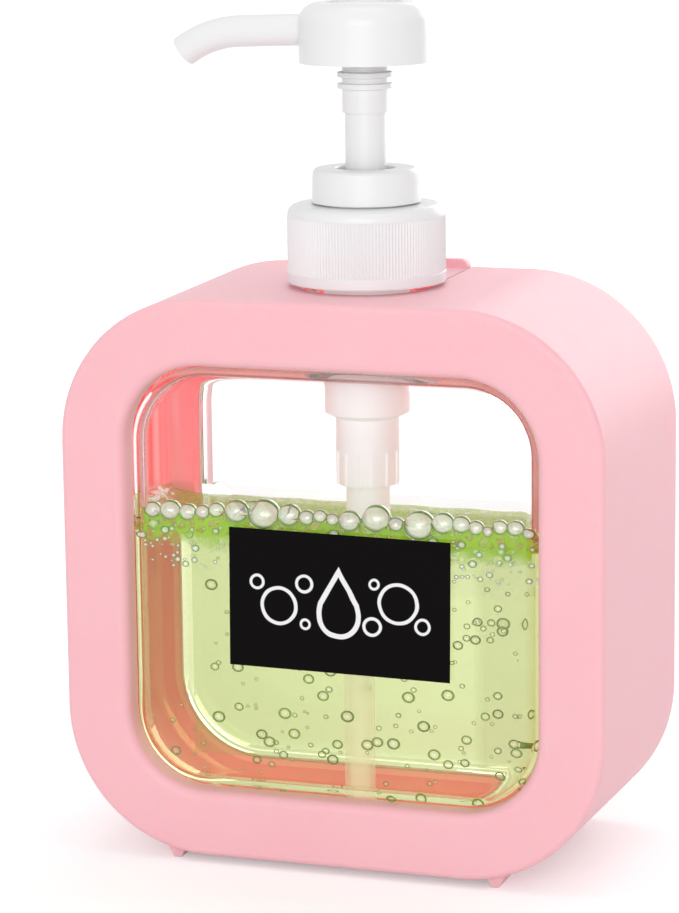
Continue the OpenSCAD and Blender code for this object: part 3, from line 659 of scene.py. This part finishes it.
def studio_floor():
    """White paper: lit and shaded as it is, and lifted to white for the camera and for gloss and glass."""
    g = new_graph("studio_floor")
    path = g.node("ShaderNodeLightPath")
    seen = g.math("MAXIMUM", Wire(g, path.outputs["Is Camera Ray"]), Wire(g, path.outputs["Is Glossy Ray"]))
    seen = g.math("MAXIMUM", seen, Wire(g, path.outputs["Is Transmission Ray"]) * 0.38)
    paper = g.wire("ShaderNodeBsdfDiffuse", 0, {}, {"Color": (0.86, 0.86, 0.86, 1)})
    split = g.node("ShaderNodeSeparateXYZ", {}, {0: g.wire("ShaderNodeTexCoord", "Object")})
    away = (Wire(g, split.outputs["X"]) ** 2 + Wire(g, split.outputs["Y"]) ** 2) ** 0.5
    lift = 0.30 + ((away - 0.25) / 1.2).clamp() * 0.30
    glow = g.wire("ShaderNodeEmission", 0, {}, {"Color": (1, 1, 1, 1), "Strength": seen * lift})
    return g.surface(g.wire("ShaderNodeAddShader", 0, {}, {0: paper, 1: glow}))


def dress(material, *names):
    """Gives a CAD node its finish."""
    for name in names:
        for place in cad_nodes[name].material_slots:
            place.material = material


# Finishes

white = moulded_plastic("white_plastic", (0.85, 0.85, 0.855), (0.83, 0.83, 0.838), 0.30, 0.4 * MM, 15 * MM)
# The housing and the dip tube carry a painted glow.
natural = moulded_plastic("natural_plastic", (0.98, 0.96, 0.96), (0.97, 0.95, 0.95), 0.38, 0.4 * MM, 12 * MM,
                          passing=0.3, unbent=0.2, glow=0.16)
tube = moulded_plastic("tube_plastic", (0.97, 0.97, 0.96), (0.96, 0.96, 0.95), 0.38, 0.4 * MM, 12 * MM,
                       passing=0.85, unbent=0.85, glow=0.42)
soft_white = moulded_plastic("seal_plastic", (0.80, 0.79, 0.76), (0.77, 0.76, 0.73), 0.5, 0.5 * MM, 9 * MM)

dress(frame_plastic(), "front_frame", "rear_frame")
dress(white, "closure", "collar", "head", "stem")
dress(natural, "housing")
dress(tube, "dip_tube")
dress(soft_white, "gasket", "piston", "stem_plug")
bright_steel = steel()
dress(bright_steel, "inlet_ball", "outlet_ball")
dress(clear_plastic(), "bottle")
dress(label_film(*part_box("label")), "label")

# Return spring, riding on the pump

spring_low, spring_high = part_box("spring")
points, faces = coil_spring(spring_low[2], spring_high[2], COIL_RADIUS, WIRE_RADIUS, COIL_TURNS)
spring_coil = piece("spring_coil", points, faces, bright_steel, "pump")
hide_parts("spring")
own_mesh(spring_coil)

# Liquid and its bubbles

inner_front = -(PANEL_HALF - BOTTLE_WALL)
domes = foam_domes(inner_front)
points, faces = liquid_shell(domes)
soap_liquid = piece("soap_liquid", points, faces, liquid_soap(), "case")
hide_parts("soap")

rng = np.random.default_rng(SEED)
inner_side = CORNER_X + BODY_CORNER - BOTTLE_WALL
taken = domes.tolist()
side_row = []
for side in (-1, 1):
    for row in scatter(rng, 26, np.array([inner_side - 3.6 * MM, -16 * MM, 65.0 * MM]),
                       np.array([inner_side - 1.6 * MM, 16 * MM, 69.5 * MM]), (0.5 * MM, 1.5 * MM), taken + side_row):
        side_row.append([side * row[0], *row[1:]])
front_foam = scatter(rng, 110, np.array([-41 * MM, inner_front + 0.5 * MM, 65.0 * MM]),
                     np.array([41 * MM, inner_front + 2.5 * MM, 69.4 * MM]), (0.28 * MM, 1.1 * MM), taken + side_row)
under_foam = scatter(rng, 70, np.array([-40 * MM, inner_front + 0.5 * MM, 60.5 * MM]),
                     np.array([41 * MM, inner_front + 2.5 * MM, 65.5 * MM]), (0.22 * MM, 0.75 * MM),
                     taken + side_row + front_foam,
                     keep=lambda place, radius: abs(place[0] - 2 * MM) > 23 * MM or place[2] > 64 * MM)
drifting = scatter(rng, 85, np.array([-38 * MM, inner_front + 0.6 * MM, 14 * MM]), np.array([40 * MM, 16 * MM, 60 * MM]),
                   (0.3 * MM, 1.3 * MM), taken + side_row + front_foam + under_foam,
                   keep=lambda place, radius: math.hypot(place[0], place[1]) > 5.5 * MM)
clinging = scatter(rng, 80, np.array([-36 * MM, inner_front + 0.5 * MM, 14 * MM]),
                   np.array([39 * MM, inner_front + 1.5 * MM, 60 * MM]), (0.35 * MM, 1.2 * MM),
                   taken + side_row + front_foam + under_foam + drifting,
                   keep=lambda place, radius: place[0] > 24 * MM or place[2] < 42 * MM)
bubble_cloud("foam_bubbles", np.array(domes.tolist() + side_row), 18, 28, bubble_air("foam_air", 0.26, 0.10))
bubble_cloud("small_bubbles", np.array(front_foam + under_foam), 8, 12, bubble_air("small_air", 0.24, 0.10))
bubble_cloud("loose_bubbles", np.array(drifting + clinging), 10, 16, bubble_air("loose_air", 0.03, 0.06))
foam_rim = green_rim("foam_rim_green", (0.10, 0.30, 0.002), (0.26, 0.52, 0.006))
loose_rim = green_rim("loose_rim_green", (0.22, 0.38, 0.002), (0.48, 0.68, 0.02))
ring_cloud("foam_rims", domes, 0.13, foam_rim, 36, 8)
ring_cloud("small_rims", np.array(front_foam + under_foam), 0.2, foam_rim, 14, 5)
ring_cloud("loose_rims", np.array(drifting + clinging), 0.2, loose_rim, 16, 5)

half_inside = inner_side - 1.0 * MM
window_inside = CORNER_X + FRONT_PANEL_CORNER - BOTTLE_WALL - 0.3 * MM
deep_green, pale_green = (0.34, 0.68, 0.002), (0.45, 0.80, 0.04)
sheet("foam_sheet", (-window_inside, 60 * MM), (window_inside, 73 * MM), 60, 12,
      lambda x, z: np.stack([x, np.full_like(x, inner_front + 1.5 * MM), z], axis=-1),
      foam_green("foam_green", deep_green, domes.tolist(), 64.4 * MM, 72.2 * MM, 3.0 * MM, 1.0, 0.6))
sheet("foam_cover", (-half_inside, -18.5 * MM), (half_inside, 18.5 * MM), 60, 30,
      lambda x, y: np.stack([x, y, LIQUID_LEVEL + (0.5 + 0.25 * np.sin(x / MM * 0.5) * np.cos(y / MM * 0.4)) * MM], axis=-1),
      foam_green("cover_green", pale_green, [], 50 * MM, 80 * MM, 1 * MM, 0.62, 0.3))
sheet("cloudy_soap", (-window_inside, 14.5 * MM), (window_inside, LIQUID_LEVEL), 40, 30,
      lambda x, z: np.stack([x, np.full_like(x, 14 * MM), z], axis=-1),
      cloudy_soap())

# Studio

floor_mesh = bpy.data.meshes.new("studio_floor")
floor_mesh.from_pydata([(-6, -6, 0), (6, -6, 0), (6, 9, 0), (-6, 9, 0)], [], [(0, 1, 2, 3)])
floor = bpy.data.objects.new("studio_floor", floor_mesh)
bpy.context.scene.collection.objects.link(floor)
floor.data.materials.append(studio_floor())

world = bpy.data.worlds.new("studio_world")
bpy.context.scene.world = world
g = Graph(world)
path = g.node("ShaderNodeLightPath")
seen = g.math("MAXIMUM", Wire(g, path.outputs["Is Camera Ray"]), Wire(g, path.outputs["Is Glossy Ray"]))
seen = g.math("MAXIMUM", seen, Wire(g, path.outputs["Is Transmission Ray"]))
sky = g.wire("ShaderNodeBackground", 0, {}, {"Color": (1, 1, 1, 1), "Strength": 0.68 + seen * 0.32})
g.node("ShaderNodeOutputWorld", {}, {"Surface": sky})


def softbox(name, place, aim, width, height, radiance):
    """Square lamp of an even radiance, turned towards a point."""
    lamp = bpy.data.lights.new(name, "AREA")
    lamp.shape, lamp.size, lamp.size_y = "RECTANGLE", width, height
    lamp.energy = radiance * math.pi * width * height
    made = bpy.data.objects.new(name, lamp)
    made.location = place
    made.rotation_euler = (Vector(aim) - Vector(place)).to_track_quat("-Z", "Y").to_euler()
    bpy.context.scene.collection.objects.link(made)
    return made


softbox("key_softbox", (0.24, -1.19, 0.40), (0, 0, 0.08), 0.9, 0.7, 2.7)
softbox("top_softbox", (0.00, 0.10, 1.25), (0, 0, 0.1), 0.8, 0.8, 1.0)
softbox("rear_softbox", (0.20, 1.10, 0.35), (0, 0, 0.07), 0.9, 0.6, 2.6)

# Camera, fitted to the outline of the frame and the pump

CAMERA_PLACE = Vector((0.2200, -0.6403, 0.2118))
CAMERA_YAW, CAMERA_PITCH, CAMERA_ROLL = (math.radians(a) for a in (19.465, 10.96, -0.68))
CAMERA_LENS = 133.78
reach = math.cos(CAMERA_PITCH)
forward = Vector((-math.sin(CAMERA_YAW) * reach, math.cos(CAMERA_YAW) * reach, -math.sin(CAMERA_PITCH)))
level = Vector((math.cos(CAMERA_YAW), math.sin(CAMERA_YAW), 0))
upright = level.cross(forward)
right = level * math.cos(CAMERA_ROLL) + upright * math.sin(CAMERA_ROLL)
up = upright * math.cos(CAMERA_ROLL) - level * math.sin(CAMERA_ROLL)
camera_data = bpy.data.cameras.new("studio_camera")
camera_data.sensor_width, camera_data.lens, camera_data.clip_start, camera_data.clip_end = 36.0, CAMERA_LENS, 0.02, 40.0
camera = bpy.data.objects.new("studio_camera", camera_data)
camera.matrix_world = Matrix.Translation(CAMERA_PLACE) @ Matrix((right, up, -forward)).transposed().to_4x4()
bpy.context.scene.collection.objects.link(camera)
bpy.context.scene.camera = camera

scene = bpy.context.scene
scene.view_settings.view_transform = "Standard"
scene.cycles.max_bounces = 12
scene.cycles.transmission_bounces = 12
scene.cycles.transparent_max_bounces = 24
